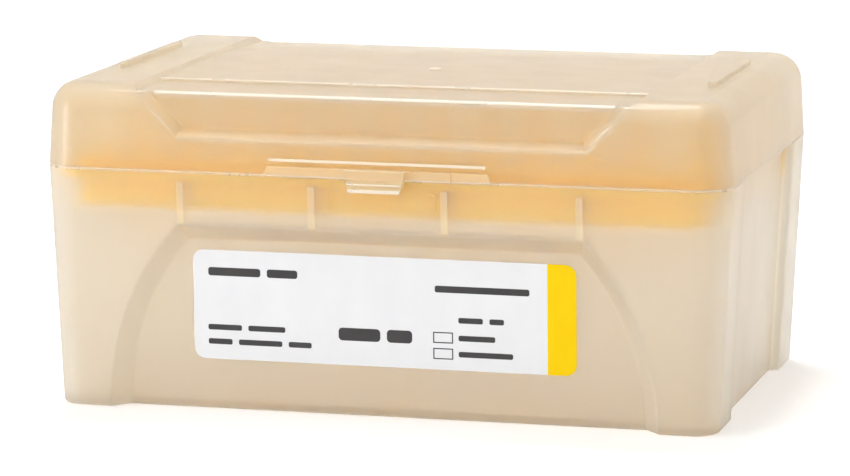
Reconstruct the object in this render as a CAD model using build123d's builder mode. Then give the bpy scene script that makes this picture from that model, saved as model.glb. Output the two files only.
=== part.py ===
"""Hinged box of 96 pipette tips: base, lid, tray, tips and front label.

Millimetres. Origin at the centre of the base's underside, +X to the right along the front,
+Y towards the hinge, +Z up. The lid is closed.
"""

import os
from math import atan2, cos, degrees, radians, sin, sqrt, tan

from build123d import *

os.makedirs("parts", exist_ok=True)

# Driving dimensions -------------------------------------------------------------------------------
overshoot = 8.0  # how far cutting shapes run past the box

# Tips
pitch = 9.0
columns = 12
rows = 8
tip_length = 51.0
collar_length = 9.5
collar_radius = 3.6
collar_root_radius = 3.45
mouth_radius = 2.85
socket_radius = 2.4
stem_radius = 2.75
stem_middle_radius = 1.5
stem_middle_rise = 15.0  # above the tip's point
point_radius = 0.45
orifice_radius = 0.2
tip_wall = 0.4
hole_clearance = 0.2

# Tray, round the rack of tips
tray_end_margin = 3.0  # between the rack's pitch squares and the skirt's outside
tray_side_margin = 0.8
tray_width = columns * pitch + 2 * tray_end_margin
tray_depth = rows * pitch + 2 * tray_side_margin
tray_height = 9.0  # skirt's lower edge to the top plate's face
tray_wall = 1.2
tray_corner = 4.0
plate_above_rim = 2.0  # top plate's face above the base's rim
flange_drop = 1.6  # flange's underside below the base's rim
flange_thickness = 1.4
flange_gap = 0.3

# Box, round the tray and over the tips
wall = 1.3
floor_thickness = 1.4
box_end_space = 5.0  # between the tray's skirt and the box's outside, at the parting line
box_side_space = 4.2
box_width = tray_width + 2 * box_end_space
box_depth = tray_depth + 2 * box_side_space
tip_floor_gap = 2.1
base_height = floor_thickness + tip_floor_gap + tip_length - collar_length - plate_above_rim
rim_gap = 0.25  # parting line between the closed lid and the base
tip_lid_gap = 1.2  # between the tips' mouths and the lowest part of the lid's top
band_drop = 1.15  # bands in front of and behind the lid's plateau, below its end blocks
lid_height = plate_above_rim + collar_length + tip_lid_gap + wall + band_drop - rim_gap
base_draft = 2.85  # degrees, sides lean out going up
lid_draft = 3.28  # degrees, sides lean in going up
corner_radius = 6.8  # upright corners, at the parting line
lid_edge_radius = 5.1  # round between the lid's sides and its top
border_radius = 0.7  # softening of the base's lower edge and of its recesses

# Arched panel recess in the base's front and back
arch_column = 12.3  # from the arch's side to the box's end
arch_drop = 9.4  # straight top edge of the arch, below the base's rim
arch_radius = box_width / 2 - arch_column
arch_top = base_height - arch_drop
panel_depth = 3.2
arch_step = 2.8  # width of the sloping border, along the face

# Grip recess in the base's ends, between the corner columns
grip_column = 17.0
grip_width = box_depth - 2 * grip_column
grip_depth = 1.7
grip_slope = 15.0  # degrees off square

# Ribs inside the base
tray_rib_thickness = 1.2
tray_rib_spacing = 24.0
tray_rib_gap = 0.3
end_rib_width = 1.0
end_rib_height = 0.8

# Lid channel between the end blocks
block_width = 17.6
channel_half_width = box_width / 2 - block_width  # where the channel's side meets the band
plateau_drop = 0.65  # plateau below the end blocks
band_width = 17.3  # from the box's side to the plateau
plateau_depth = box_depth - 2 * band_width
ledge_rise = 6.1  # lower edge of the recess in the lid's front, above the lid's rim
recess_depth = 2.5
recess_step = 1.4  # width of the recess's sloping border, along the face
crest_radius = 0.6  # softening of the recess's edges
plateau_edge_radius = 0.4
gate_radius = 1.1
gate_height = 0.2

# Stacking ribs on the lid
stack_rib_length = 34.0
stack_rib_width = 1.5
stack_rib_height = 0.9
stack_rib_inset = 7.6  # its centre line, from the box's end

# Finger grip and latch tab on the lid's front
pad_width = 41.2
pad_height = 1.6
pad_proud = 0.7
pad_narrowing = 0.8  # at each end, over the pad's height
pad_centre_width = 26.8
pad_centre_proud = 1.0
bead_width = 39.0
bead_height = 0.5
bead_rise = 2.7
bead_proud = 0.3
tab_width = 11.0
tab_drop = 2.0  # below the base's rim
tab_thickness = 1.9
tab_gap = 0.35  # between the tab and the base's wall
tab_narrowing = 0.9
tab_groove = 0.35

# Small arched pads on the base, either side of the latch
catch_spacing = 19.2
catch_width = 1.8
catch_height = 3.8
catch_proud = 0.35
catch_drop = 2.0

# Hinge
hinge_spacing = 62.0
hinge_offset = 2.2  # pin axis behind the back wall
knuckle_length = 8.0
knuckle_radius = 1.6
ear_radius = 1.9
ear_thickness = 1.8
pin_radius = 0.95
pin_clearance = 0.07  # radial
hinge_side_gap = 0.3

# Label
label_width = 69.6
label_height = 19.8
label_drop = 14.7  # its centre, below the arch's top edge
label_corner = 2.0
label_thickness = 0.15

# Derived sizes -----------------------------------------------------------------------------------
half_width = box_width / 2
half_depth = box_depth / 2
rim_height = base_height + rim_gap
lid_top = rim_height + lid_height
base_lean = base_height * tan(radians(base_draft))
arch_slope = degrees(atan2(arch_step, panel_depth))
recess_slope = degrees(atan2(recess_step, recess_depth))
plate_top = base_height + plate_above_rim
tray_seat = base_height - flange_drop


def inner_widening(thickness, slope):
    """Outward shift, along the outer face, of a sloping border that keeps a wall behind itself."""
    return thickness / cos(radians(slope))


# Faces of the box, with +Z into the box and +Y up the face
front_face = Plane(
    origin=(0, base_lean - half_depth, 0),
    x_dir=(-1, 0, 0),
    z_dir=(0, cos(radians(base_draft)), sin(radians(base_draft))),
)
end_face = Plane(
    origin=(half_width - base_lean, 0, 0),
    x_dir=(0, -1, 0),
    z_dir=(-cos(radians(base_draft)), 0, sin(radians(base_draft))),
)
lid_front_face = Plane(
    origin=(0, -half_depth, rim_height),
    x_dir=(-1, 0, 0),
    z_dir=(0, cos(radians(lid_draft)), -sin(radians(lid_draft))),
)
rim_plane = Plane(origin=(0, 0, base_height), x_dir=(1, 0, 0), z_dir=(0, 0, -1))


# Base --------------------------------------------------------------------------------------------
def base_recesses(thickness):
    """Space taken from the base's outline by its panel and grip recesses, thickened inwards."""
    arch_widening = inner_widening(thickness, arch_slope)
    grip_widening = inner_widening(thickness, grip_slope)
    with BuildPart() as panels:
        with BuildSketch(front_face):
            Circle(arch_radius + arch_widening)
            with Locations((0, arch_top + arch_widening)):
                Rectangle(box_width, box_width, align=(Align.CENTER, Align.MIN), mode=Mode.SUBTRACT)
        extrude(amount=panel_depth + thickness, taper=arch_slope)
        mirror(about=Plane.XZ)
    with BuildPart() as recesses:
        with BuildSketch(end_face):
            with Locations((0, base_height / 2)):
                Rectangle(grip_width + 2 * grip_widening, base_height + 2 * overshoot)
        extrude(amount=grip_depth + thickness, taper=grip_slope)
        mirror(about=Plane.YZ)
        add(panels.part)
    return recesses.part


# Ribs inside the base: eight under the tray's flange, and one up each end wall
rib_reach = half_depth - tray_depth / 2 - tray_rib_gap
with BuildPart() as base_ribs:
    with BuildSketch(end_face.offset(grip_depth)):
        with Locations((0, arch_top / 2)):
            Rectangle(end_rib_width, arch_top)
    extrude(amount=wall + end_rib_height)
    mirror(about=Plane.YZ)
    with BuildSketch(Plane.XY.offset(tray_seat)):
        with GridLocations(tray_rib_spacing, 2 * half_depth - rib_reach, 4, 2):
            Rectangle(tray_rib_thickness, rib_reach)
    extrude(amount=arch_top - arch_step - tray_seat)

with BuildPart() as base_cavity:
    with BuildSketch(rim_plane):
        RectangleRounded(box_width - 2 * wall, box_depth - 2 * wall, corner_radius - wall)
    extrude(amount=base_height - floor_thickness, taper=base_draft)
    add(base_recesses(wall), mode=Mode.SUBTRACT)
    add(base_ribs.part, mode=Mode.SUBTRACT)

hinge_y = half_depth + hinge_offset
hinge_z = base_height + rim_gap / 2
ear_centre = knuckle_length / 2 + hinge_side_gap + ear_thickness / 2
slope_point = ear_radius / sqrt(2)
ear_root = half_depth - wall / 2
ear_sides = Plane(origin=(0, 0, 0), x_dir=(0, 1, 0), z_dir=(1, 0, 0))

with BuildPart() as base:
    with BuildSketch(rim_plane):
        RectangleRounded(box_width, box_depth, corner_radius)
    extrude(amount=base_height, taper=base_draft)
    add(base_recesses(0), mode=Mode.SUBTRACT)
    recess_borders = base.edges().filter_by_position(Axis.Z, wall, base_height - wall)
    recess_borders = recess_borders.filter_by(GeomType.BEZIER, reverse=True)
    fillet(recess_borders + base.edges().group_by(Axis.Z)[0], radius=border_radius)
    add(base_cavity.part, mode=Mode.SUBTRACT)

    # Small arched pads by the latch
    with BuildSketch(front_face):
        with Locations((0, base_height - catch_drop - catch_height / 2)):
            with GridLocations(catch_spacing, 0, 2, 1):
                SlotOverall(catch_height, catch_width, rotation=90)
    extrude(amount=-catch_proud)

    # Hinge ears
    for hinge_x in (-hinge_spacing / 2, hinge_spacing / 2):
        for side in (-ear_centre, ear_centre):
            with BuildSketch(ear_sides.offset(hinge_x + side)):
                with BuildLine():
                    Polyline(
                        (ear_root, base_height),
                        (hinge_y, base_height),
                        (hinge_y + slope_point, hinge_z - slope_point),
                        (ear_root, hinge_z - 2 * slope_point - hinge_y + ear_root),
                        close=True,
                    )
                make_face()
                with Locations((hinge_y, hinge_z)):
                    Circle(ear_radius)
                    Circle(pin_radius + pin_clearance, mode=Mode.SUBTRACT)
            extrude(amount=ear_thickness / 2, both=True)

base.part.label = "base"
export_step(base.part, "parts/base.step")


# Lid ---------------------------------------------------------------------------------------------
def lid_channel(thickness):
    """Space taken from the lid's outline by the channel between its end blocks, thickened inwards."""
    side_shift = thickness * sqrt(2)
    widening = inner_widening(thickness, recess_slope)
    band_height = lid_top - band_drop

    def trapezoid(low, high, shift, datum=0):
        """Corners of a section of the channel, with its sides at 45 degrees."""
        low_half = channel_half_width + low - band_height + shift
        high_half = channel_half_width + high - band_height + shift
        return (
            (-low_half, low - datum),
            (low_half, low - datum),
            (high_half, high - datum),
            (-high_half, high - datum),
        )

    band_start = plateau_depth / 2 - thickness
    recess_low = rim_height + ledge_rise - widening
    cut_top = lid_top + overshoot
    with BuildPart() as band:
        with BuildSketch(Plane.XZ.offset(band_start)):
            Polygon(*trapezoid(band_height - thickness, cut_top, side_shift), align=None)
        extrude(amount=half_depth - band_start)
        with BuildSketch(lid_front_face):
            Polygon(*trapezoid(recess_low, cut_top, widening * sqrt(2), rim_height), align=None)
        extrude(amount=recess_depth + thickness, taper=recess_slope)
        mirror(about=Plane.XZ)
    with BuildPart() as channel:
        with BuildSketch(Plane.XZ):
            Polygon(*trapezoid(lid_top - plateau_drop - thickness, cut_top, side_shift), align=None)
        extrude(amount=half_depth, both=True)
        add(band.part)
    return channel.part


with BuildPart() as lid_cavity:
    with BuildSketch(Plane.XY.offset(rim_height)):
        RectangleRounded(box_width - 2 * wall, box_depth - 2 * wall, corner_radius - wall)
    extrude(amount=lid_height - wall, taper=lid_draft)
    fillet(lid_cavity.edges().group_by(Axis.Z)[-1], radius=lid_edge_radius - wall)
    add(lid_channel(wall), mode=Mode.SUBTRACT)

knuckle_slope_point = knuckle_radius / sqrt(2)
pin_length = knuckle_length + 2 * (hinge_side_gap + ear_thickness)

with BuildPart() as lid:
    with BuildSketch(Plane.XY.offset(rim_height)):
        RectangleRounded(box_width, box_depth, corner_radius)
    extrude(amount=lid_height, taper=lid_draft)
    fillet(lid.edges().group_by(Axis.Z)[-1], radius=lid_edge_radius)
    add(lid_channel(0), mode=Mode.SUBTRACT)
    channel_edges = lid.edges().filter_by_position(Axis.X, -channel_half_width, channel_half_width)
    channel_edges = channel_edges.filter_by_position(Axis.Z, rim_height + ledge_rise - wall, lid_top)
    front_edges = channel_edges.filter_by_position(Axis.Y, -half_depth, recess_depth + wall - half_depth)
    back_edges = channel_edges.filter_by_position(Axis.Y, half_depth - recess_depth - wall, half_depth)
    fillet(front_edges + back_edges, radius=crest_radius)
    plateau_edges = lid.edges().filter_by_position(Axis.Z, lid_top - plateau_drop, lid_top - plateau_drop)
    fillet(plateau_edges.filter_by(Axis.X), radius=plateau_edge_radius)
    add(lid_cavity.part, mode=Mode.SUBTRACT)

    # Gate mark
    with BuildSketch(Plane.XY.offset(lid_top - plateau_drop)):
        Circle(gate_radius)
    extrude(amount=gate_height)

    # Stacking ribs
    with BuildSketch(Plane.XY.offset(lid_top - wall / 2)):
        with GridLocations(box_width - 2 * stack_rib_inset, 0, 2, 1):
            RectangleRounded(stack_rib_width, stack_rib_length, stack_rib_width / 3)
    extrude(amount=stack_rib_height + wall / 2)

    # Finger grip: a stepped pad, its prouder middle and the bead above it
    with BuildSketch(lid_front_face.offset(wall / 2)):
        with BuildLine():
            Polyline(
                (-pad_width / 2, 0),
                (pad_width / 2, 0),
                (pad_width / 2 - pad_narrowing, pad_height),
                (pad_narrowing - pad_width / 2, pad_height),
                close=True,
            )
        make_face()
    extrude(amount=-pad_proud - wall / 2)
    with BuildSketch(lid_front_face.offset(wall / 2)):
        Rectangle(pad_centre_width, pad_height, align=(Align.CENTER, Align.MIN))
    extrude(amount=-pad_centre_proud - wall / 2)
    with BuildSketch(lid_front_face.offset(wall / 2)):
        with Locations((0, bead_rise)):
            Rectangle(bead_width, bead_height)
    extrude(amount=-bead_proud - wall / 2)

    # Latch tab, hanging in front of the base's wall
    tab_top = rim_height + pad_height
    tab_bottom = base_height - tab_drop
    with BuildSketch(Plane.XZ.offset(half_depth + tab_gap)):
        with BuildLine():
            Polyline(
                (-tab_width / 2, tab_top),
                (tab_width / 2, tab_top),
                (tab_width / 2 - tab_narrowing, tab_bottom),
                (tab_narrowing - tab_width / 2, tab_bottom),
                close=True,
            )
        make_face()
    extrude(amount=tab_thickness)
    with BuildSketch(ear_sides):
        with Locations((-half_depth - tab_gap - tab_thickness, 0)):
            with Locations((0, base_height), (0, base_height - tab_drop / 2)):
                Circle(tab_groove)
    extrude(amount=tab_width, both=True, mode=Mode.SUBTRACT)

    # Hinge knuckles with their pins
    for hinge_x in (-hinge_spacing / 2, hinge_spacing / 2):
        with BuildSketch(ear_sides.offset(hinge_x)):
            with BuildLine():
                Polyline(
                    (ear_root, rim_height),
                    (hinge_y, rim_height),
                    (hinge_y + knuckle_slope_point, hinge_z + knuckle_slope_point),
                    (ear_root, hinge_z + 2 * knuckle_slope_point + hinge_y - ear_root),
                    close=True,
                )
            make_face()
            with Locations((hinge_y, hinge_z)):
                Circle(knuckle_radius)
        extrude(amount=knuckle_length / 2, both=True)
        with BuildSketch(ear_sides.offset(hinge_x)):
            with Locations((hinge_y, hinge_z)):
                Circle(pin_radius)
        extrude(amount=pin_length / 2, both=True)

lid.part.label = "lid"
export_step(lid.part, "parts/lid.step")

# Tray --------------------------------------------------------------------------------------------
seat_lean = (base_height - tray_seat) * tan(radians(base_draft))
flange_width = box_width - 2 * (wall + seat_lean + flange_gap)
flange_depth = box_depth - 2 * (wall + seat_lean + flange_gap)
notch_width = grip_width + 2 * (wall + flange_gap)
skirt_bottom = plate_top - tray_height

with BuildPart() as tray:
    with BuildSketch(Plane.XY.offset(tray_seat)):
        RectangleRounded(flange_width, flange_depth, corner_radius - wall - flange_gap)
        with GridLocations(flange_width, 0, 2, 1):
            Rectangle(2 * grip_depth, notch_width, mode=Mode.SUBTRACT)
    extrude(amount=flange_thickness)
    with BuildSketch(Plane.XY.offset(skirt_bottom)):
        RectangleRounded(tray_width, tray_depth, tray_corner)
    extrude(amount=tray_height)
    fillet(tray.edges().group_by(Axis.Z)[-1], radius=tray_wall / 2)
    with BuildSketch(Plane.XY.offset(skirt_bottom)):
        RectangleRounded(tray_width - 2 * tray_wall, tray_depth - 2 * tray_wall, tray_corner - tray_wall)
    extrude(amount=tray_height - tray_wall, mode=Mode.SUBTRACT)
    with BuildSketch(Plane.XY.offset(plate_top)):
        with GridLocations(pitch, pitch, columns, rows):
            Circle(stem_radius + hole_clearance)
    extrude(amount=-tray_height, mode=Mode.SUBTRACT)

tray.part.label = "tray"
export_step(tray.part, "parts/tray.step")

# Tips --------------------------------------------------------------------------------------------
tip_top = plate_top + collar_length
tip_point = tip_top - tip_length
stem_middle = tip_point + stem_middle_rise

with BuildPart() as tip:
    with BuildSketch(Plane.XZ):
        with BuildLine():
            Polyline(
                (mouth_radius, tip_top),
                (collar_radius, tip_top),
                (collar_root_radius, plate_top),
                (stem_radius, plate_top),
                (stem_middle_radius, stem_middle),
                (point_radius, tip_point),
                (orifice_radius, tip_point),
                (stem_middle_radius - tip_wall, stem_middle),
                (socket_radius, plate_top),
                close=True,
            )
        make_face()
    revolve(axis=Axis.Z)

for column in range(columns):
    with BuildPart() as tip_column:
        with Locations(((column - (columns - 1) / 2) * pitch, 0, 0)):
            with GridLocations(pitch, pitch, 1, rows):
                add(tip.part)
    name = f"tips_column_{column + 1:02d}"
    tip_column.part.label = name
    export_step(tip_column.part, f"parts/{name}.step")

# Label -------------------------------------------------------------------------------------------
with BuildPart() as label:
    with BuildSketch(front_face.offset(panel_depth)):
        with Locations((0, arch_top - label_drop)):
            RectangleRounded(label_width, label_height, label_corner)
    extrude(amount=-label_thickness)

label.part.label = "label"
export_step(label.part, "parts/label.step")
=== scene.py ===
"""Looks of a frosted, hinged box of 96 pipette tips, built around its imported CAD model.

Metres, in the CAD frame: +X runs to the right along the front, +Y towards the hinge, +Z up, and the
origin lies under the middle of the base. The lid is closed at rest.
"""

import logging
import math
from dataclasses import dataclass
from enum import Enum, IntEnum

import bmesh
import bpy
import numpy as np
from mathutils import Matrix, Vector


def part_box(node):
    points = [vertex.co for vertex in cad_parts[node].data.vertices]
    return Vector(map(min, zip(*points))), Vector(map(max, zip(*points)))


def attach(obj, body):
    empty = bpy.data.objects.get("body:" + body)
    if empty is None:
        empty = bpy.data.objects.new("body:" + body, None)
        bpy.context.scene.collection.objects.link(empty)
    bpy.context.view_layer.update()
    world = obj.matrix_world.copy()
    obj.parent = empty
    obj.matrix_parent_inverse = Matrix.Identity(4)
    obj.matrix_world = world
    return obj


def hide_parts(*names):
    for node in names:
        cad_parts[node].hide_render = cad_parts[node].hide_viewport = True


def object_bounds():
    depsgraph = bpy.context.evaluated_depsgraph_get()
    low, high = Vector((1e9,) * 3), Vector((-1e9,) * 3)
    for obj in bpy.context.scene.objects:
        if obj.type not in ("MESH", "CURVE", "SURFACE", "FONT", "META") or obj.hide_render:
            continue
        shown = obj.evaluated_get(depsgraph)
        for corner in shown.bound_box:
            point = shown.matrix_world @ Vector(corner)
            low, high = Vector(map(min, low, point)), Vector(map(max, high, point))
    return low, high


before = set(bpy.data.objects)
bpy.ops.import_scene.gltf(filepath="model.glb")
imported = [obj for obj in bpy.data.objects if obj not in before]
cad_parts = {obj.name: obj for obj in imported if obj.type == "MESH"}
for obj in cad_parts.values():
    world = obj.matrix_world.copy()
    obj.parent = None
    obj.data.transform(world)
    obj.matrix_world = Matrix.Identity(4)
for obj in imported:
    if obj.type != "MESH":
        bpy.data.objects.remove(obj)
cad_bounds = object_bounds()

MM = 0.001
WELD_DISTANCE = 0.002 * MM
FLAT_ANGLE = math.radians(0.3)  # faces that turn less than this from each other are made one
CRISP_ANGLE = math.radians(30)  # edges of plain shapes that turn more than this stay sharp
log = logging.getLogger("tip_box")

Colour = tuple[float, float, float, float]


class Body(Enum):
    """The bodies that the pieces ride on."""

    BOX = "box"
    LID = "lid"


class Slot(Enum):
    """The record's material slots."""

    BASE = "base_plastic"
    LID = "lid_plastic"
    TRAY = "tray_plastic"
    TIP = "tip_plastic"
    LABEL = "label_film"


class Skin(IntEnum):
    """The order of a moulding's finishes in its mesh."""

    WALL = 0
    # paler, less see-through faces on narrow edges and up-turned small rounds: real gloss plus a painted
    # highlight
    EDGE = 1
    THICK = 2


def screen_colour(red: int, green: int, blue: int) -> Colour:
    """Gives the linear colour of a screen colour.

    Args:
        red: Red, from 0 to 255.
        green: Green, from 0 to 255.
        blue: Blue, from 0 to 255.

    Returns:
        The colour as linear red, green and blue, and an alpha of 1.
    """
    share = np.array([red, green, blue]) / 255
    linear = np.where(share <= 0.04045, share / 12.92, ((share + 0.055) / 1.055) ** 2.4)
    return (*linear.tolist(), 1.0)


# Shader nodes ------------------------------------------------------------------------------------
class NodeSheet:
    """A node tree with short ways to add its nodes and join them."""

    def __init__(self, tree: bpy.types.NodeTree) -> None:
        """Takes the tree and clears it.

        Args:
            tree: The node tree of a material, a world or a group.
        """
        self.tree = tree
        tree.nodes.clear()

    def add(self, kind: str, settings: dict | None = None, **values: object) -> bpy.types.Node:
        """Adds a node.

        Args:
            kind: The node's type, such as "ShaderNodeMath".
            settings: Properties of the node, by name.
            **values: Inputs by socket name, with _ for a space: a number, a colour or another socket.

        Returns:
            The new node.
        """
        node = self.tree.nodes.new(kind)
        for name, value in (settings or {}).items():
            setattr(node, name, value)
        for name, value in values.items():
            self.feed(node.inputs[name.replace("_", " ")], value)
        return node

    def feed(self, socket: bpy.types.NodeSocket, value: object) -> None:
        """Sets an input socket, or joins another socket to it."""
        if isinstance(value, bpy.types.NodeSocket):
            self.tree.links.new(value, socket)
        else:
            socket.default_value = value

    def math(self, operation: str, first: object, second: object = 0.0) -> bpy.types.NodeSocket:
        """Adds a Math node.

        Args:
            operation: The node's operation, such as "MULTIPLY".
            first: A number or a socket.
            second: A number or a socket.

        Returns:
            The node's result.
        """
        node = self.add("ShaderNodeMath", {"operation": operation})
        self.feed(node.inputs[0], first)
        self.feed(node.inputs[1], second)
        return node.outputs[0]

    def blend(self, share: object, low: object, high: object) -> bpy.types.NodeSocket:
        """Adds a colour Mix node.

        Args:
            share: How much of the second colour there is, a number or a socket.
            low: The first colour.
            high: The second colour.

        Returns:
            The mixed colour.
        """
        node = self.add("ShaderNodeMix", {"data_type": "RGBA"})
        self.feed(node.inputs["Factor"], share)
        self.feed(node.inputs[6], low)
        self.feed(node.inputs[7], high)
        return node.outputs[2]


def moulded_surface() -> bpy.types.NodeTree:
    """Builds the group that every finish shares, once.

    The grain is fine noise. The clouds are broad noise, stretched upwards as melt flows, with the
    middle of its range spread from 0 to 1.

    Returns:
        The node group, with inputs Point, Grain Size and Cloud Size, and outputs Grain and Clouds.
    """
    name = "moulded_surface"
    if name in bpy.data.node_groups:
        return bpy.data.node_groups[name]
    group = bpy.data.node_groups.new(name, "ShaderNodeTree")
    group.interface.new_socket("Point", in_out="INPUT", socket_type="NodeSocketVector")
    group.interface.new_socket("Grain Size", in_out="INPUT", socket_type="NodeSocketFloat")
    group.interface.new_socket("Cloud Size", in_out="INPUT", socket_type="NodeSocketFloat")
    group.interface.new_socket("Grain", in_out="OUTPUT", socket_type="NodeSocketFloat")
    group.interface.new_socket("Clouds", in_out="OUTPUT", socket_type="NodeSocketFloat")
    sheet = NodeSheet(group)
    given = sheet.add("NodeGroupInput").outputs
    grain_scale = sheet.math("DIVIDE", 1.0, given["Grain Size"])
    cloud_scale = sheet.math("DIVIDE", 1.0, given["Cloud Size"])
    noise = "ShaderNodeTexNoise"
    grain = sheet.add(noise, Vector=given["Point"], Scale=grain_scale, Detail=2.0, Roughness=0.6)
    flow = sheet.add("ShaderNodeMapping", Vector=given["Point"], Scale=(1.0, 1.0, 0.45)).outputs["Vector"]
    clouds = sheet.add(noise, Vector=flow, Scale=cloud_scale, Detail=3.0, Roughness=0.55)
    spread = sheet.add("ShaderNodeMapRange", Value=clouds.outputs[0], From_Min=0.3, From_Max=0.7)
    result = sheet.add("NodeGroupOutput").inputs
    sheet.feed(result["Grain"], grain.outputs[0])
    sheet.feed(result["Clouds"], spread.outputs["Result"])
    return group


@dataclass(frozen=True)
class Finish:
    """A surface with a fine grain, and faint clouds in its colour and its gloss."""

    name: str
    colour: Colour
    cloud_colour: Colour
    roughness: float
    roughness_spread: float
    grain_size: float
    grain_height: float
    cloud_size: float
    coat: float
    coat_roughness: float

    def optics(self) -> dict[str, float]:
        """Gives the shader's other inputs, by socket name with _ for a space."""
        return {}

    def material(self) -> bpy.types.Material:
        """Builds the material.

        Returns:
            The material, with its colour, roughness and bump from the moulded surface group.
        """
        material = bpy.data.materials.new(self.name)
        material.use_nodes = True
        sheet = NodeSheet(material.node_tree)
        point = sheet.add("ShaderNodeTexCoord").outputs["Object"]
        surface = sheet.add(
            "ShaderNodeGroup",
            {"node_tree": moulded_surface()},
            Point=point,
            Grain_Size=self.grain_size,
            Cloud_Size=self.cloud_size,
        )
        clouds = surface.outputs["Clouds"]
        bump = sheet.add("ShaderNodeBump", Height=surface.outputs["Grain"], Distance=self.grain_height)
        rough = sheet.add(
            "ShaderNodeMapRange",
            Value=clouds,
            To_Min=self.roughness - self.roughness_spread,
            To_Max=self.roughness + self.roughness_spread,
        )
        shader = sheet.add(
            "ShaderNodeBsdfPrincipled",
            Base_Color=sheet.blend(clouds, self.colour, self.cloud_colour),
            Roughness=rough.outputs["Result"],
            Coat_Weight=self.coat,
            Coat_Roughness=self.coat_roughness,
            Normal=bump.outputs["Normal"],
            **self.optics(),
        )
        sheet.add("ShaderNodeOutputMaterial", Surface=shader.outputs["BSDF"])
        return material


@dataclass(frozen=True)
class MouldedPlastic(Finish):
    """Injection-moulded plastic, solid or see-through."""

    roughness_spread: float = 0.06
    grain_size: float = 0.35 * MM
    grain_height: float = 0.012 * MM
    cloud_size: float = 9.0 * MM
    coat: float = 0.0
    coat_roughness: float = 0.32
    ior: float = 1.49
    transmission: float = 0.0
    alpha: float = 1.0

    def optics(self) -> dict[str, float]:
        """Gives how far light bends in the plastic, and how much of it goes through."""
        return {"IOR": self.ior, "Transmission_Weight": self.transmission, "Alpha": self.alpha}


@dataclass(frozen=True)
class PrintedFilm(Finish):
    """Satin film or ink."""

    roughness_spread: float = 0.04
    grain_size: float = 0.25 * MM
    grain_height: float = 0.003 * MM
    cloud_size: float = 6.0 * MM
    coat: float = 0.0
    coat_roughness: float = 0.03
    specular: float = 0.5

    def optics(self) -> dict[str, float]:
        """Gives how much light the film mirrors."""
        return {"Specular_IOR_Level": self.specular}


LID_PLASTIC = MouldedPlastic(
    name="frosted_lid",
    colour=screen_colour(247, 237, 218),
    cloud_colour=screen_colour(245, 234, 212),
    roughness=0.58,
    transmission=0.92,
    ior=1.42,
    coat=0.5,
)
# Glossier than the lid's walls, which is real, and paler and less see-through, which paints a highlight on
# its narrow edges and up-turned rounds.
LID_GLOSS_AND_PAINTED_HIGHLIGHT = MouldedPlastic(
    name="lid_gloss_and_painted_highlight",
    colour=screen_colour(255, 247, 232),
    cloud_colour=screen_colour(254, 244, 226),
    roughness=0.3,
    transmission=0.3,
    coat=1.0,
)
BASE_PLASTIC = MouldedPlastic(
    name="frosted_base",
    colour=screen_colour(249, 244, 234),
    cloud_colour=screen_colour(247, 241, 229),
    roughness=0.62,
    transmission=0.92,
    ior=1.42,
    coat=0.5,
)
THICK_SKIN = MouldedPlastic(
    name="thick_skin",
    colour=screen_colour(255, 243, 212),
    cloud_colour=screen_colour(254, 239, 204),
    roughness=0.45,
    transmission=0.62,
    ior=1.42,
    coat=0.25,
)
# Glossier than the base's walls, which is real, and paler and less see-through, which paints a highlight on
# its narrow edges, up-turned rounds and rim rod.
BASE_GLOSS_AND_PAINTED_HIGHLIGHT = MouldedPlastic(
    name="base_gloss_and_painted_highlight",
    colour=screen_colour(254, 240, 214),
    cloud_colour=screen_colour(253, 236, 206),
    roughness=0.3,
    transmission=0.5,
    coat=1.0,
)
TRAY_PLASTIC = MouldedPlastic(
    name="yellow_tray",
    colour=screen_colour(255, 214, 24),
    cloud_colour=screen_colour(254, 209, 18),
    roughness=0.4,
)
# A paler, glossier yellow on the tray's narrow edges and up-turned rounds: a painted highlight.
TRAY_GLOSS_AND_PAINTED_HIGHLIGHT = MouldedPlastic(
    name="tray_gloss_and_painted_highlight",
    colour=screen_colour(255, 222, 120),
    cloud_colour=screen_colour(255, 218, 110),
    roughness=0.35,
)
TIP_PLASTIC = MouldedPlastic(
    name="clear_tip",
    colour=screen_colour(255, 254, 252),
    cloud_colour=screen_colour(254, 253, 250),
    roughness=0.25,
    alpha=0.06,
    cloud_size=4.0 * MM,
)
TIP_COLLAR = MouldedPlastic(
    name="tip_collar",
    colour=screen_colour(255, 250, 240),
    cloud_colour=screen_colour(254, 248, 236),
    roughness=0.25,
    alpha=0.3,
    cloud_size=4.0 * MM,
)
LABEL_FILM = PrintedFilm(
    name="white_film",
    colour=screen_colour(240, 241, 243),
    cloud_colour=screen_colour(235, 236, 239),
    roughness=0.35,
    coat=0.2,
)
YELLOW_INK = PrintedFilm(
    name="yellow_ink",
    colour=screen_colour(255, 218, 0),
    cloud_colour=screen_colour(252, 208, 0),
    roughness=0.5,
    specular=0.15,
)
DARK_INK = PrintedFilm(
    name="dark_ink",
    colour=screen_colour(44, 42, 42),
    cloud_colour=screen_colour(58, 56, 56),
    roughness=0.4,
)


# Meshes ------------------------------------------------------------------------------------------
def placed(mesh: bpy.types.Mesh, sharp_angle: float) -> bpy.types.Object:
    """Puts a mesh in the scene, at the origin.

    Args:
        mesh: The mesh.
        sharp_angle: Edges that turn more than this stay sharp, in radians.

    Returns:
        The object, smooth between its sharp edges.
    """
    mesh.validate()
    mesh.shade_smooth()
    mesh.set_sharp_from_angle(angle=sharp_angle)
    piece = bpy.data.objects.new(mesh.name, mesh)
    bpy.context.scene.collection.objects.link(piece)
    return piece


def new_piece(
    name: str, points: np.ndarray, faces: np.ndarray | list, sharp_angle: float = CRISP_ANGLE
) -> bpy.types.Object:
    """Makes a mesh object at the origin.

    Args:
        name: The piece's name.
        points: The corners, one row of three metres each.
        faces: The corners' numbers, a row for each face.
        sharp_angle: Edges that turn more than this stay sharp, in radians.

    Returns:
        The object.
    """
    mesh = bpy.data.meshes.new(name)
    mesh.from_pydata(points, [], faces)
    return placed(mesh, sharp_angle)


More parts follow.
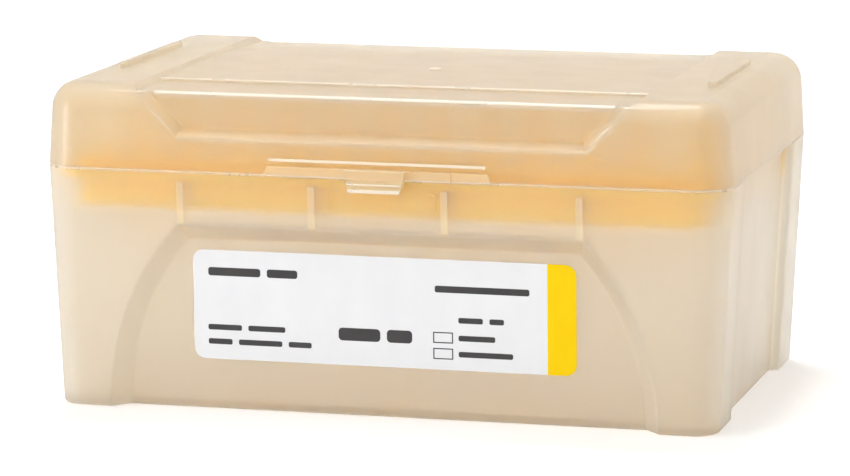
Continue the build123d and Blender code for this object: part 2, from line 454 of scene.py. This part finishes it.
def built(finish: Finish) -> bpy.types.Material:
    """Gives a finish's material, which is built the first time."""
    return bpy.data.materials.get(finish.name) or finish.material()


def dress(piece: bpy.types.Object, finish: Finish, body: Body) -> None:
    """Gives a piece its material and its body.

    Args:
        piece: The object.
        finish: The finish to build or to use again.
        body: The body that it rides on.
    """
    piece.data.materials.clear()
    piece.data.materials.append(built(finish))
    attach(piece, body.value)
    log.info("%s rides on %s, with finish %s", piece.name, body.value, finish.name)


def closed_revolution(profile: np.ndarray, segments: int) -> tuple[np.ndarray, np.ndarray]:
    """Carries a closed profile round the Z axis.

    A point is (r cos a, r sin a, z), with the profile's r and z and an angle a that goes once round.

    Args:
        profile: Rows of radius and height, once round the section, clockwise seen with r to the right.
        segments: Steps round the axis.

    Returns:
        The points, and the faces as rows of four point numbers, facing outwards.
    """
    angle = np.arange(segments) * (2 * math.pi / segments)
    radius = profile[:, 0][:, None]
    height = np.broadcast_to(profile[:, 1][:, None], (len(profile), segments))
    points = np.stack([radius * np.cos(angle), radius * np.sin(angle), height], axis=-1)
    row = np.arange(len(profile))[:, None]
    column = np.arange(segments)[None, :]
    next_row = (row + 1) % len(profile)
    next_column = (column + 1) % segments
    faces = np.stack(
        [
            row * segments + column,
            next_row * segments + column,
            next_row * segments + next_column,
            row * segments + next_column,
        ],
        axis=-1,
    )
    return points.reshape(-1, 3), faces.reshape(-1, 4)


# The box's pieces --------------------------------------------------------------------------------
@dataclass
class Moulding:
    """A moulded piece that keeps its CAD form, with its faces sorted by the finish that they show.

    A rise is the upward part of a face's normal, from 0 for a wall to 1 for a floor.
    """

    node: str
    name: str
    body: Body
    slot: Slot
    finishes: tuple[MouldedPlastic, ...]  # in the order of Skin
    sharp_angle: float = math.radians(24)
    ledge: float = 0.7 * MM  # narrower patches get the painted highlight finish
    shelf: float = 1.2 * MM  # so do narrower ones that face up
    shelf_rise: float = 0.8
    facet: float = 0.16 * MM  # a small round's facets are narrower than this
    facet_rim: float = 1.6 * MM  # and at least this long, all round
    facet_rise: float = 0.6

    def welded_copy(self) -> bmesh.types.BMesh:
        """Copies the CAD node's mesh, with its corners welded and its flat faces made whole.

        Returns:
            The copy, with every face in the wall's finish.
        """
        work = bmesh.new()
        work.from_mesh(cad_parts[self.node].data)
        bmesh.ops.remove_doubles(work, verts=work.verts, dist=WELD_DISTANCE)
        bmesh.ops.dissolve_limit(work, angle_limit=FLAT_ANGLE, verts=work.verts, edges=work.edges)
        for face in work.faces:
            face.material_index = Skin.WALL
        return work

    def is_sharp(self, edge: bmesh.types.BMEdge) -> bool:
        """Tells whether the surface turns sharply at an edge, or ends there."""
        return edge.calc_face_angle(math.pi) > self.sharp_angle

    def patches(self, work: bmesh.types.BMesh) -> list[list[bmesh.types.BMFace]]:
        """Sorts a mesh's faces into patches that sharp edges part.

        Args:
            work: The mesh.

        Returns:
            The patches, each as a list of its faces.
        """
        patches, seen = [], set()
        for start in work.faces:
            if start in seen:
                continue
            seen.add(start)
            patch = [start]
            for face in patch:
                for edge in face.edges:
                    if self.is_sharp(edge):
                        continue
                    fresh = [other for other in edge.link_faces if other not in seen]
                    seen.update(fresh)
                    patch.extend(fresh)
            patches.append(patch)
        return patches

    def paint_ledge_highlights(self, work: bmesh.types.BMesh) -> None:
        """Gives the painted highlight finish to narrow patches, and to wider ones that face up.

        A patch's width is twice its area, over the length of its sharp rim.

        Args:
            work: The mesh.
        """
        for patch in self.patches(work):
            rim = [edge for face in patch for edge in face.edges if self.is_sharp(edge)]
            length = sum(edge.calc_length() for edge in rim)
            area = sum(face.calc_area() for face in patch)
            faces_up = min(face.normal.z for face in patch) > self.shelf_rise
            if length > 0 and 2 * area / length < (self.shelf if faces_up else self.ledge):
                for face in patch:
                    face.material_index = Skin.EDGE

    def gets_painted_highlight(self, face: bmesh.types.BMFace) -> bool:
        """Tells whether a facet of a small round is turned up far enough to get the painted highlight."""
        return face.normal.z > self.facet_rise

    def paint_round_highlights(self, work: bmesh.types.BMesh) -> None:
        """Gives the painted highlight finish to the long, narrow facets of small rounds that bulge out and
        are turned up.

        Args:
            work: The mesh.
        """
        for face in work.faces:
            around = face.calc_perimeter()
            slender = 2 * face.calc_area() / around < self.facet and around > self.facet_rim
            bulge = sum(edge.calc_face_angle_signed(0.0) * edge.calc_length() for edge in face.edges)
            if slender and bulge > 0 and self.gets_painted_highlight(face):
                face.material_index = Skin.EDGE

    def mark_thick(self, work: bmesh.types.BMesh) -> None:
        """Marks nothing: a plain moulding is of one thickness."""

    def lay_painted_rim_highlight(self, work: bmesh.types.BMesh) -> None:
        """Adds nothing: a plain moulding has no painted rim highlight."""

    def build(self) -> None:
        """Makes the piece in the CAD node's stead."""
        work = self.welded_copy()
        self.paint_ledge_highlights(work)
        self.paint_round_highlights(work)
        self.mark_thick(work)
        mesh = bpy.data.meshes.new(self.name)
        work.to_mesh(mesh)
        self.lay_painted_rim_highlight(work)
        work.free()
        for layer in [layer for layer in mesh.attributes if "normal" in layer.name]:
            mesh.attributes.remove(layer)
        piece = placed(mesh, self.sharp_angle)
        skins = [face.material_index for face in mesh.polygons]
        dress(piece, self.finishes[Skin.WALL], self.body)
        for finish in self.finishes[1:]:
            mesh.materials.append(built(finish))
        mesh.polygons.foreach_set("material_index", skins)
        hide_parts(self.node)


@dataclass
class RimmedMoulding(Moulding):
    """A moulding with a thin rod along its outer rim, where the lid meets the base, that rounds the edge a
    little and in its paler finish paints the rim's highlight.
    """

    parting_height: float = 43.125 * MM
    rim_reach: float = 0.2 * MM  # a rim lies this close to the parting height
    rim_turn: float = math.radians(60)  # and its edges turn more than this
    wall_out: float = 0.3  # least outward part of a wall's normal
    highlight_rod_radius: float = 0.08 * MM
    highlight_rod_sides: int = 6
    highlight_rod_sharp: float = math.radians(70)
    hinge_back: float = 38.0 * MM  # the hinges lie behind this
    hinge_place: float = 31.0 * MM  # at this distance from the middle
    hinge_room: float = 7.0 * MM  # and keep this much free on either side

    def by_hinge(self, place: Vector) -> bool:
        """Tells whether a point of the rim lies beside a hinge, where the lid's knuckles swing past."""
        return place.y > self.hinge_back and abs(abs(place.x) - self.hinge_place) < self.hinge_room

    def rim_edges(self, work: bmesh.types.BMesh) -> tuple[np.ndarray, np.ndarray]:
        """Finds the sharp outer edges of the rim, but for those beside a hinge.

        Args:
            work: The mesh.

        Returns:
            Both ends of each edge, and the outward direction of the wall below or above it.
        """
        ends, outs = [], []
        for edge in work.edges:
            middle = (edge.verts[0].co + edge.verts[1].co) / 2
            outward = middle.xy.normalized()
            level = all(abs(corner.co.z - self.parting_height) < self.rim_reach for corner in edge.verts)
            sharp = edge.calc_face_angle(0.0) > self.rim_turn
            normals = [face.normal for face in edge.link_faces]
            walls = [normal for normal in normals if normal.xy.dot(outward) > self.wall_out]
            if level and sharp and len(walls) == 1 and not self.by_hinge(middle):
                ends.append([corner.co[:] for corner in edge.verts])
                outs.append(walls[0][:])
        return np.array(ends), np.array(outs)

    def lay_painted_rim_highlight(self, work: bmesh.types.BMesh) -> None:
        """Lays the painted rim highlight: a thin rod in the paler edge finish along each rim edge, a little
        longer than the edge at both ends.

        A point of a rod is its edge's end, plus the radius times cos a outwards and sin a across.

        Args:
            work: The mesh.
        """
        ends, outs = self.rim_edges(work)
        along = ends[:, 1] - ends[:, 0]
        along /= np.linalg.norm(along, axis=1)[:, None]
        across = np.cross(along, outs)
        step = np.arange(self.highlight_rod_sides)
        angle = (step * 2 * math.pi / self.highlight_rod_sides)[None, :, None]
        ring = (np.cos(angle) * outs[:, None] + np.sin(angle) * across[:, None]) * self.highlight_rod_radius
        spare = along[:, None] * self.highlight_rod_radius / 2
        points = np.concatenate([ends[:, :1] - spare + ring, ends[:, 1:] + spare + ring], axis=1)
        after = (step + 1) % self.highlight_rod_sides
        sides = np.stack([step, after, after + self.highlight_rod_sides, step + self.highlight_rod_sides], axis=-1).tolist()
        rod = sides + [step[::-1].tolist(), (step + self.highlight_rod_sides).tolist()]
        first = np.arange(len(ends)) * 2 * self.highlight_rod_sides
        faces = [[corner + start for corner in face] for start in first.tolist() for face in rod]
        # the rod's paler finish paints a highlight along the rim
        highlight_rod = new_piece(f"{self.node}_rim_painted_highlight", points.reshape(-1, 3), faces, self.highlight_rod_sharp)
        dress(highlight_rod, self.finishes[Skin.EDGE], self.body)


@dataclass
class BaseMoulding(RimmedMoulding):
    """The base, whose front and back walls look paler where a rib stands behind them."""

    rib_places: tuple[float, ...] = (-36.0 * MM, -12.0 * MM, 12.0 * MM, 36.0 * MM)
    rib_width: float = 1.2 * MM
    rib_top: float = 41.4 * MM
    strip_reach: float = 0.72 * MM  # a rib's strip of skin lies this close to the rib's middle
    skin_reach: float = 37.0 * MM  # the walls' outer skin lies this far out at least

    def wall_skin(self, work: bmesh.types.BMesh) -> list[bmesh.types.BMFace]:
        """Finds the front and back walls' outermost faces, which lie well out and face straight out."""
        reach = self.skin_reach
        return [face for face in work.faces if face.normal.y * face.calc_center_median().y > reach]

    def mark_thick(self, work: bmesh.types.BMesh) -> None:
        """Parts the walls' outer skin over each rib from the rest, and gives it the thick finish.

        Args:
            work: The mesh.
        """
        sides = [place + side * self.rib_width / 2 for place in self.rib_places for side in (-1, 1)]
        cuts = [((side, 0.0, 0.0), (1.0, 0.0, 0.0)) for side in sides]
        cuts.append(((0.0, 0.0, self.rib_top), (0.0, 0.0, 1.0)))
        for place, across in cuts:
            parts = {part for face in self.wall_skin(work) for part in (face, *face.edges, *face.verts)}
            bmesh.ops.bisect_plane(
                work, geom=list(parts), plane_co=place, plane_no=across, dist=WELD_DISTANCE
            )
        for face in self.wall_skin(work):
            corners = np.array([corner.co for corner in face.verts])
            reach = np.abs(corners[:, 0][:, None] - np.array(self.rib_places)).max(axis=0).min()
            below = corners[:, 2].max() < self.rib_top + WELD_DISTANCE
            if reach < self.strip_reach and below and face.calc_area() > self.rib_width**2:
                face.material_index = Skin.THICK


@dataclass
class LidMoulding(RimmedMoulding):
    """The lid, whose finger grip and latch tab are thick, and whose recesses have a painted highlight along
    their crest.
    """

    grip_front: float = -41.15 * MM  # the grip and the tab lie before this
    grip_top: float = 46.6 * MM  # and below this
    crest_height: float = 52.0 * MM  # crests lie above this
    crest_reach: float = 30.0 * MM  # and this far from the middle, front and back
    crest_rise: float = 0.25

    def gets_painted_highlight(self, face: bmesh.types.BMFace) -> bool:
        """Tells whether a facet lies high on the lid and is turned up enough to get the painted highlight,
        less so where it is on a crest.
        """
        middle = face.calc_center_median()
        rise = self.crest_rise if abs(middle.y) > self.crest_reach else self.facet_rise
        return middle.z > self.crest_height and face.normal.z > rise

    def mark_thick(self, work: bmesh.types.BMesh) -> None:
        """Gives the thick finish to the finger grip and the latch tab, which stand out from the front.

        Args:
            work: The mesh.
        """
        for face in work.faces:
            middle = face.calc_center_median()
            if middle.y < self.grip_front and middle.z < self.grip_top and face.material_index == Skin.WALL:
                face.material_index = Skin.THICK


@dataclass
class TipRack:
    """Twelve columns of eight tips, as fine surfaces of revolution with ribs round their collars."""

    columns: int = 12
    rows: int = 8
    segments: int = 48
    sharp_angle: float = math.radians(40)
    collar_length: float = 9.5 * MM
    collar_root: float = 3.45 * MM  # outer radius at the collar's foot
    smooth_band: float = 1.2 * MM  # length of the band without ribs, at the mouth
    band_step: float = 0.12 * MM  # how far the band stands out
    bevel: float = 0.2 * MM
    mouth: float = 2.85 * MM  # bore radius at the mouth
    socket: float = 2.4 * MM  # bore radius at the collar's foot
    stem: float = 2.75 * MM  # outer radius below the collar
    stem_middle: float = 1.5 * MM  # outer radius where the taper changes
    middle_rise: float = 15.0 * MM  # height of that place over the point
    point: float = 0.45 * MM  # outer radius at the point
    orifice: float = 0.2 * MM  # bore radius at the point
    wall: float = 0.4 * MM  # thickness where the taper changes
    ribs: int = 12
    rib_height: float = 0.16 * MM
    rib_power: int = 4  # the higher, the narrower the ribs
    ribbed_points: tuple[int, ...] = (4, 5)  # the section's points that the ribs push out
    collar_rows: int = 6  # rows of faces that show the collar's finish, from the mouth down

    def section(self, top: float, bottom: float, collar: float) -> np.ndarray:
        """Works out a tip's closed section.

        Args:
            top: Height of the tip's mouth.
            bottom: Height of its point.
            collar: Radius of the collar at the mouth.

        Returns:
            Rows of radius and height: down the outside, round the point and up the bore.
        """
        seat = top - self.collar_length
        middle = bottom + self.middle_rise
        return np.array(
            [
                (self.mouth, top),
                (collar - self.bevel, top),
                (collar, top - self.bevel),
                (collar, top - self.smooth_band),
                (collar - self.band_step, top - self.smooth_band - self.bevel),
                (self.collar_root, seat + self.bevel),
                (self.collar_root - self.bevel, seat),
                (self.stem, seat),
                (self.stem_middle, middle),
                (self.point, bottom),
                (self.orifice, bottom),
                (self.stem_middle - self.wall, middle),
                (self.socket, seat),
            ]
        )

    def tip(self, top: float, bottom: float, collar: float) -> tuple[np.ndarray, np.ndarray]:
        """Makes one tip on the Z axis.

        The ribs move a point out by their height times a wave, (1 + cos(ribs * angle)) / 2, raised to
        the ribs' power.

        Args:
            top: Height of the tip's mouth.
            bottom: Height of its point.
            collar: Radius of the collar at the mouth.

        Returns:
            The points and the faces.
        """
        profile = self.section(top, bottom, collar)
        points, faces = closed_revolution(profile, self.segments)
        angle = np.arctan2(points[:, 1], points[:, 0])
        wave = ((1 + np.cos(angle * self.ribs)) / 2) ** self.rib_power
        ribbed = np.isin(np.arange(len(profile)), self.ribbed_points)
        push = np.repeat(ribbed, self.segments) * wave * self.rib_height
        radius = np.hypot(points[:, 0], points[:, 1])
        points[:, :2] *= (1 + push / radius)[:, None]
        return points, faces

    def build(self) -> None:
        """Makes each column in the place of its CAD node."""
        for column in range(1, self.columns + 1):
            node = f"tips_column_{column:02d}"
            low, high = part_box(node)
            collar = (high.x - low.x) / 2
            pitch = (high.y - low.y - 2 * collar) / (self.rows - 1)
            points, faces = self.tip(high.z, low.z, collar)
            shift = np.zeros((self.rows, 1, 3))
            shift[:, 0, 0] = (high.x + low.x) / 2
            shift[:, 0, 1] = low.y + collar + np.arange(self.rows) * pitch
            all_points = (points[None] + shift).reshape(-1, 3)
            all_faces = (faces[None] + np.arange(self.rows)[:, None, None] * len(points)).reshape(-1, 4)
            piece = new_piece(f"tips_{column:02d}", all_points, all_faces, self.sharp_angle)
            dress(piece, TIP_PLASTIC, Body.BOX)
            piece.data.materials.append(built(TIP_COLLAR))
            collar_faces = np.arange(len(faces)) < self.collar_rows * self.segments
            piece.data.polygons.foreach_set("material_index", np.tile(collar_faces, self.rows).astype(int))
            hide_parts(node)


@dataclass(frozen=True)
class PrintLine:
    """One line of the label's print: plain bars with gaps between them."""

    left: float
    middle: float
    height: float
    bars: tuple[float, ...]
    gap: float = 1.2


@dataclass
class Label:
    """The front label: white film, a yellow end band and plain dark bars. Sizes are in millimetres."""

    lean: float = math.radians(2.85)  # the front wall leans out this much on its way up
    band_width: float = 5.2
    corner: float = 2.0
    band_corner: float = 0.01  # radius of the band's two inner corners
    bar_roundness: float = 0.3  # a bar's corner radius, as a share of its height
    box_half_width: float = 1.7
    box_half_height: float = 1.0
    stroke: float = 0.2
    ink_height: float = 0.02
    arc_steps: int = 6
    lines: tuple[PrintLine, ...] = (
        PrintLine(left=-32.0, middle=6.0, height=1.5, bars=(9.6, 5.6)),
        PrintLine(left=-32.2, middle=-4.1, height=1.0, bars=(6.2, 6.8)),
        PrintLine(left=-32.2, middle=-6.7, height=1.0, bars=(4.4, 8.0, 4.2)),
        PrintLine(left=-8.2, middle=-4.3, height=2.3, bars=(7.6, 4.6)),
        PrintLine(left=9.4, middle=4.6, height=1.2, bars=(17.0,)),
        PrintLine(left=13.6, middle=-0.9, height=1.0, bars=(4.4, 2.6)),
        PrintLine(left=13.6, middle=-4.1, height=1.0, bars=(6.6,)),
        PrintLine(left=13.6, middle=-7.0, height=1.0, bars=(9.8,)),
    )
    boxes: tuple[tuple[float, float], ...] = ((10.8, -4.1), (10.8, -7.0))

    def outline(
        self, left: float, right: float, low: float, high: float, radii: tuple[float, ...]
    ) -> np.ndarray:
        """Works out a rectangle with round corners, on the label.

        Args:
            left: Left edge.
            right: Right edge.
            low: Lower edge.
            high: Upper edge.
            radii: Radius of each corner, counter-clockwise from the lower right one.

        Returns:
            Rows of place along the label and up it, counter-clockwise.
        """
        centres = np.array(
            [
                (right - radii[0], low + radii[0]),
                (right - radii[1], high - radii[1]),
                (left + radii[2], high - radii[2]),
                (left + radii[3], low + radii[3]),
            ]
        )
        angle = np.linspace(0, math.pi / 2, self.arc_steps)
        angle = angle[None, :] + (np.arange(4) * math.pi / 2 - math.pi / 2)[:, None]
        circle = np.stack([np.cos(angle), np.sin(angle)], axis=-1)
        return (centres[:, None] + circle * np.array(radii)[:, None, None]).reshape(-1, 2)

    def prism(self, rim: np.ndarray, first: int) -> tuple[np.ndarray, list]:
        """Raises an outline off the label by the ink's height.

        Args:
            rim: The outline, counter-clockwise.
            first: Number of its first point.

        Returns:
            Rows of place along the label, up it and out of it, and the faces.
        """
        count = len(rim)
        sunk = np.column_stack([rim, np.full(count, -self.ink_height)])
        proud = np.column_stack([rim, np.full(count, self.ink_height)])
        step = np.arange(count)
        after = (step + 1) % count
        sides = np.stack([step, after, after + count, step + count], axis=-1) + first
        caps = [(step[::-1] + first).tolist(), (step + count + first).tolist()]
        return np.concatenate([sunk, proud]), sides.tolist() + caps

    def place(self, flat: np.ndarray) -> np.ndarray:
        """Lays points of the label on its leaning face.

        Args:
            flat: Rows of place along the label, up it and out of it, in millimetres.

        Returns:
            The points in the CAD frame, in metres.
        """
        outward = np.array([0.0, -math.cos(self.lean), -math.sin(self.lean)])
        upward = np.array([0.0, -math.sin(self.lean), math.cos(self.lean)])
        along = np.array([1.0, 0.0, 0.0])
        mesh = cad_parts["label"].data
        corners = np.array([corner.co for corner in mesh.vertices])
        low, high = (corners @ upward).min(), (corners @ upward).max()
        height = (low + high) / 2
        face = (corners @ outward).max()
        return flat @ np.stack([along, upward, outward]) * MM + upward * height + outward * face

    def piece(self, name: str, outlines: list[np.ndarray], finish: PrintedFilm) -> None:
        """Makes one colour of print from its outlines."""
        points, faces, first = [], [], 0
        for rim in outlines:
            block, sides = self.prism(rim, first)
            points.append(block)
            faces.extend(sides)
            first += len(block)
        made = new_piece(name, self.place(np.concatenate(points)), faces)
        dress(made, finish, Body.BOX)

    def band(self) -> np.ndarray:
        """Gives the outline of the band at the label's right end."""
        low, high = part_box("label")
        right = (high.x - low.x) / 2 / MM
        top = (high.z - low.z) / 2 / math.cos(self.lean) / MM
        radii = (self.corner, self.corner, self.band_corner, self.band_corner)
        return self.outline(right - self.band_width, right, -top, top, radii)

    def bars(self, line: PrintLine) -> list[np.ndarray]:
        """Gives the outlines of a line's bars, from left to right."""
        bars, left = [], line.left
        low = line.middle - line.height / 2
        for width in line.bars:
            radii = (line.height * self.bar_roundness,) * 4
            bars.append(self.outline(left, left + width, low, low + line.height, radii))
            left += width + line.gap
        return bars

    def strokes(self, centre: float, middle: float) -> list[np.ndarray]:
        """Gives the outlines of the four strokes of an empty frame, round a point of the label."""
        strokes, half = [], self.stroke / 2
        radii = (half / 2,) * 4
        left, right = centre - self.box_half_width, centre + self.box_half_width
        low, high = middle - self.box_half_height, middle + self.box_half_height
        for across, level in ((left, low + half), (right, high - half)):
            strokes.append(self.outline(across - half, across + half, low, high, radii))
            strokes.append(self.outline(left, right, level - half, level + half, radii))
        return strokes

    def build(self) -> None:
        """Dresses the film and lays its print."""
        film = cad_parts["label"]
        film.data.materials.clear()
        film.data.materials.append(built(LABEL_FILM))
        self.piece("label_band", [self.band()], YELLOW_INK)
        printed = [bar for line in self.lines for bar in self.bars(line)]
        printed += [stroke for centre, middle in self.boxes for stroke in self.strokes(centre, middle)]
        self.piece("label_print", printed, DARK_INK)


# Studio ------------------------------------------------------------------------------------------
@dataclass(frozen=True)
class Softbox:
    """A square lamp that looks at the box."""

    name: str
    place: tuple[float, float, float]
    side: float
    power: float

    def build(self, target: Vector) -> None:
        """Makes the lamp.

        Args:
            target: The point that it looks at.
        """
        lamp = bpy.data.lights.new(self.name, "AREA")
        lamp.shape = "SQUARE"
        lamp.size = self.side
        lamp.energy = self.power
        holder = bpy.data.objects.new(self.name, lamp)
        holder.location = self.place
        holder.rotation_euler = (target - Vector(self.place)).to_track_quat("-Z", "Y").to_euler()
        bpy.context.scene.collection.objects.link(holder)


@dataclass
class Studio:
    """Pale floor, white surroundings, soft lamps and the camera."""

    floor_half: float = 8.0
    floor_drop: float = 0.1 * MM
    floor_glow: float = 0.32  # what the floor adds of its own where it is seen
    ambient: float = 0.66  # how brightly the white surroundings light dull surfaces
    camera_place: tuple[float, float, float] = (0.20027, -0.77597, 0.15790)
    camera_yaw: float = math.radians(14.61)
    camera_pitch: float = math.radians(9.32)
    camera_lens: float = 187.7
    lamps: tuple[Softbox, ...] = (
        Softbox(name="key_lamp", place=(-0.75, -0.85, 1.15), side=0.9, power=5.0),
        Softbox(name="left_lamp", place=(-1.0, -0.62, 0.1), side=0.18, power=4.3),
        Softbox(name="right_lamp", place=(1.2, -0.35, 0.1), side=0.14, power=0.4),
        Softbox(name="top_lamp", place=(-0.1, 0.3, 1.2), side=0.2, power=5.0),
    )

    def sees_white(self, sheet: NodeSheet) -> bpy.types.NodeSocket:
        """Gives 1 for a ray from the camera, a gloss or a see-through wall, and 0 for any other ray."""
        path = sheet.add("ShaderNodeLightPath").outputs
        seen = sheet.math("MAXIMUM", path["Is Camera Ray"], path["Is Glossy Ray"])
        return sheet.math("MAXIMUM", seen, path["Is Transmission Ray"])

    def build_world(self) -> None:
        """Surrounds the box with white, which lights it a little less than it shows."""
        world = bpy.data.worlds.new("studio")
        bpy.context.scene.world = world
        world.use_nodes = True
        sheet = NodeSheet(world.node_tree)
        white = self.sees_white(sheet)
        spread = sheet.add("ShaderNodeMapRange", Value=white, To_Min=self.ambient, To_Max=1.0)
        strength = spread.outputs["Result"]
        surround = sheet.add("ShaderNodeBackground", Color=(1.0, 1.0, 1.0, 1.0), Strength=strength)
        sheet.add("ShaderNodeOutputWorld", Surface=surround.outputs["Background"])

    def build_floor(self) -> None:
        """Lays a pale floor that shows white where no shadow falls."""
        half = self.floor_half
        points = np.array([(-half, -half, 0), (half, -half, 0), (half, half, 0), (-half, half, 0)], float)
        points[:, 2] = -self.floor_drop
        floor = new_piece("floor", points, [(0, 1, 2, 3)])
        material = bpy.data.materials.new("pale_floor")
        material.use_nodes = True
        sheet = NodeSheet(material.node_tree)
        point = sheet.add("ShaderNodeTexCoord").outputs["Object"]
        mottle = sheet.add("ShaderNodeTexNoise", Vector=point, Scale=3.0, Detail=2.0)
        colour = sheet.blend(mottle.outputs[0], screen_colour(236, 236, 236), screen_colour(239, 239, 239))
        shader = sheet.add(
            "ShaderNodeBsdfPrincipled",
            Base_Color=colour,
            Roughness=0.9,
            Specular_IOR_Level=0.0,
            Emission_Color=(1.0, 1.0, 1.0, 1.0),
            Emission_Strength=sheet.math("MULTIPLY", self.sees_white(sheet), self.floor_glow),
        )
        sheet.add("ShaderNodeOutputMaterial", Surface=shader.outputs["BSDF"])
        floor.data.materials.append(material)

    def build_camera(self) -> None:
        """Places the camera before the box, to the right and a little above."""
        camera = bpy.data.cameras.new("camera")
        camera.lens = self.camera_lens
        camera.sensor_width = 36.0
        camera.clip_start = 0.05
        camera.clip_end = 50.0
        holder = bpy.data.objects.new("camera", camera)
        holder.location = self.camera_place
        holder.rotation_euler = (math.pi / 2 - self.camera_pitch, 0.0, self.camera_yaw)
        bpy.context.scene.collection.objects.link(holder)
        bpy.context.scene.camera = holder

    def build(self) -> None:
        """Sets the floor, the light and the camera."""
        self.build_world()
        self.build_floor()
        low, high = cad_bounds
        for lamp in self.lamps:
            lamp.build((low + high) / 2)
        self.build_camera()
        bpy.context.scene.view_settings.view_transform = "Standard"
        cycles = bpy.context.scene.cycles
        cycles.max_bounces = 96
        cycles.transmission_bounces = 90
        cycles.diffuse_bounces = 16
        cycles.glossy_bounces = 16
        cycles.transparent_max_bounces = 96


def main() -> None:
    """Builds the box's pieces and the studio."""
    logging.basicConfig(level=logging.INFO)
    Studio().build()
    base_finishes = (BASE_PLASTIC, BASE_GLOSS_AND_PAINTED_HIGHLIGHT, THICK_SKIN)
    BaseMoulding("base", "base_moulding", Body.BOX, Slot.BASE, base_finishes, ledge=1.15 * MM).build()
    lid_finishes = (LID_PLASTIC, LID_GLOSS_AND_PAINTED_HIGHLIGHT, THICK_SKIN)
    LidMoulding("lid", "lid_moulding", Body.LID, Slot.LID, lid_finishes).build()
    Moulding("tray", "tray_moulding", Body.BOX, Slot.TRAY, (TRAY_PLASTIC, TRAY_GLOSS_AND_PAINTED_HIGHLIGHT)).build()
    TipRack().build()
    Label().build()


if __name__ == "__main__":
    main()
